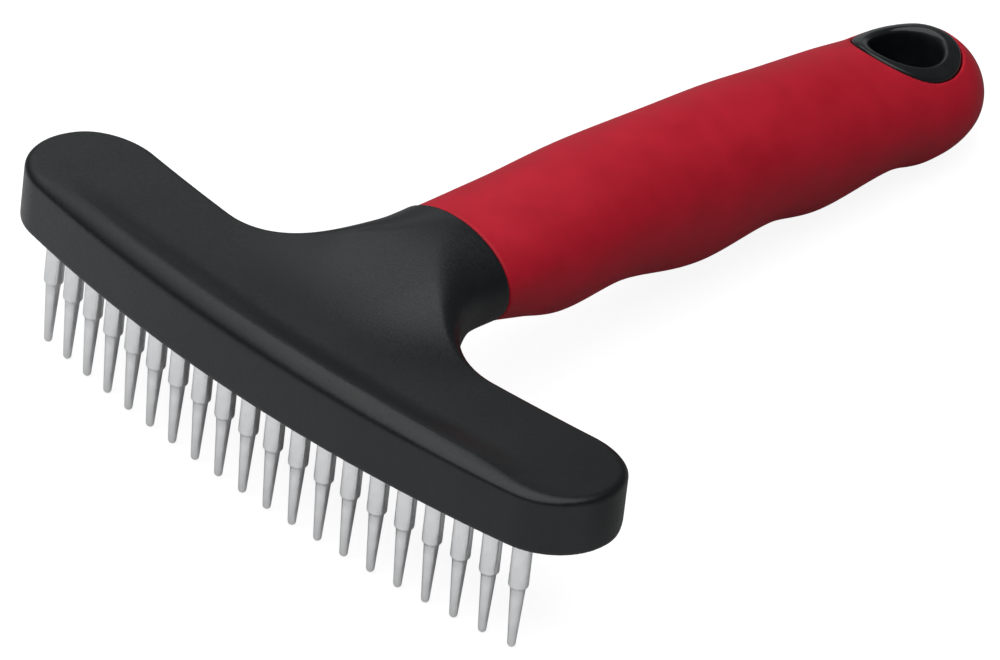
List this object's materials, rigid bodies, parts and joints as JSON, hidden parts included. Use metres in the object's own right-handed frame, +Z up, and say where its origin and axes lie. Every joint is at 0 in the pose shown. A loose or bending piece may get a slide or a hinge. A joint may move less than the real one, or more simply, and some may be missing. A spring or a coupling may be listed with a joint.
{
  "type": "pet undercoat rake with rotating teeth",
  "caption": "T-shaped undercoat rake: bowed black head with a row of freely spinning stepped steel teeth, red finger-grooved grip and a lined hang hole.",
  "frame": {"origin": "middle of the tooth carrier's flat underside, on the curved line of tooth axes at its middle", "axes": "+X along the head, +Y from the head towards the handle's end, +Z up out of the head's top, with the teeth pointing down -Z"},
  "size_m": [0.1128, 0.1415, 0.0362],
  "materials": {
    "black_plastic": "fine spark-eroded grain, semi-matt",
    "red_rubber": "soft-touch, smooth, matt sheen",
    "tooth_steel": "satin turned steel",
    "screw_steel": "zinc-plated"
  },
  "bodies": {
    "rake_body": {"head_body": "black_plastic", "tooth_carrier": "black_plastic", "grip": "red_rubber", "hang_eyelet": "black_plastic", "carrier_screw_1": "screw_steel", "carrier_screw_2": "screw_steel", "carrier_screw_3": "screw_steel", "carrier_screw_4": "screw_steel"},
    "tooth_01_pin": {"tooth_01": "tooth_steel"},
    "tooth_02_pin": {"tooth_02": "tooth_steel"},
    "tooth_03_pin": {"tooth_03": "tooth_steel"},
    "tooth_04_pin": {"tooth_04": "tooth_steel"},
    "tooth_05_pin": {"tooth_05": "tooth_steel"},
    "tooth_06_pin": {"tooth_06": "tooth_steel"},
    "tooth_07_pin": {"tooth_07": "tooth_steel"},
    "tooth_08_pin": {"tooth_08": "tooth_steel"},
    "tooth_09_pin": {"tooth_09": "tooth_steel"},
    "tooth_10_pin": {"tooth_10": "tooth_steel"},
    "tooth_11_pin": {"tooth_11": "tooth_steel"},
    "tooth_12_pin": {"tooth_12": "tooth_steel"},
    "tooth_13_pin": {"tooth_13": "tooth_steel"},
    "tooth_14_pin": {"tooth_14": "tooth_steel"},
    "tooth_15_pin": {"tooth_15": "tooth_steel"},
    "tooth_16_pin": {"tooth_16": "tooth_steel"},
    "tooth_17_pin": {"tooth_17": "tooth_steel"},
    "tooth_18_pin": {"tooth_18": "tooth_steel"},
    "tooth_19_pin": {"tooth_19": "tooth_steel"},
    "tooth_20_pin": {"tooth_20": "tooth_steel"}
  },
  "joints": [
    {"name": "tooth_01_spin", "type": "hinge", "parent": "rake_body", "child": "tooth_01_pin", "pos_m": [-0.04727, 0.00408, 0], "axis": [0, 0, 1], "continuous": true},
    {"name": "tooth_02_spin", "type": "hinge", "parent": "rake_body", "child": "tooth_02_pin", "pos_m": [-0.04233, 0.00327, 0], "axis": [0, 0, 1], "continuous": true},
    {"name": "tooth_03_spin", "type": "hinge", "parent": "rake_body", "child": "tooth_03_pin", "pos_m": [-0.03739, 0.00254, 0], "axis": [0, 0, 1], "continuous": true},
    {"name": "tooth_04_spin", "type": "hinge", "parent": "rake_body", "child": "tooth_04_pin", "pos_m": [-0.03243, 0.00191, 0], "axis": [0, 0, 1], "continuous": true},
    {"name": "tooth_05_spin", "type": "hinge", "parent": "rake_body", "child": "tooth_05_pin", "pos_m": [-0.02746, 0.00137, 0], "axis": [0, 0, 1], "continuous": true},
    {"name": "tooth_06_spin", "type": "hinge", "parent": "rake_body", "child": "tooth_06_pin", "pos_m": [-0.02247, 0.00092, 0], "axis": [0, 0, 1], "continuous": true},
    {"name": "tooth_07_spin", "type": "hinge", "parent": "rake_body", "child": "tooth_07_pin", "pos_m": [-0.01749, 0.00056, 0], "axis": [0, 0, 1], "continuous": true},
    {"name": "tooth_08_spin", "type": "hinge", "parent": "rake_body", "child": "tooth_08_pin", "pos_m": [-0.0125, 0.00028, 0], "axis": [0, 0, 1], "continuous": true},
    {"name": "tooth_09_spin", "type": "hinge", "parent": "rake_body", "child": "tooth_09_pin", "pos_m": [-0.0075, 0.0001, 0], "axis": [0, 0, 1], "continuous": true},
    {"name": "tooth_10_spin", "type": "hinge", "parent": "rake_body", "child": "tooth_10_pin", "pos_m": [-0.0025, 0.00001, 0], "axis": [0, 0, 1], "continuous": true},
    {"name": "tooth_11_spin", "type": "hinge", "parent": "rake_body", "child": "tooth_11_pin", "pos_m": [0.0025, 0.00001, 0], "axis": [0, 0, 1], "continuous": true},
    {"name": "tooth_12_spin", "type": "hinge", "parent": "rake_body", "child": "tooth_12_pin", "pos_m": [0.0075, 0.0001, 0], "axis": [0, 0, 1], "continuous": true},
    {"name": "tooth_13_spin", "type": "hinge", "parent": "rake_body", "child": "tooth_13_pin", "pos_m": [0.0125, 0.00028, 0], "axis": [0, 0, 1], "continuous": true},
    {"name": "tooth_14_spin", "type": "hinge", "parent": "rake_body", "child": "tooth_14_pin", "pos_m": [0.01749, 0.00056, 0], "axis": [0, 0, 1], "continuous": true},
    {"name": "tooth_15_spin", "type": "hinge", "parent": "rake_body", "child": "tooth_15_pin", "pos_m": [0.02247, 0.00092, 0], "axis": [0, 0, 1], "continuous": true},
    {"name": "tooth_16_spin", "type": "hinge", "parent": "rake_body", "child": "tooth_16_pin", "pos_m": [0.02746, 0.00137, 0], "axis": [0, 0, 1], "continuous": true},
    {"name": "tooth_17_spin", "type": "hinge", "parent": "rake_body", "child": "tooth_17_pin", "pos_m": [0.03243, 0.00191, 0], "axis": [0, 0, 1], "continuous": true},
    {"name": "tooth_18_spin", "type": "hinge", "parent": "rake_body", "child": "tooth_18_pin", "pos_m": [0.03739, 0.00254, 0], "axis": [0, 0, 1], "continuous": true},
    {"name": "tooth_19_spin", "type": "hinge", "parent": "rake_body", "child": "tooth_19_pin", "pos_m": [0.04233, 0.00327, 0], "axis": [0, 0, 1], "continuous": true},
    {"name": "tooth_20_spin", "type": "hinge", "parent": "rake_body", "child": "tooth_20_pin", "pos_m": [0.04727, 0.00408, 0], "axis": [0, 0, 1], "continuous": true}
  ]
}
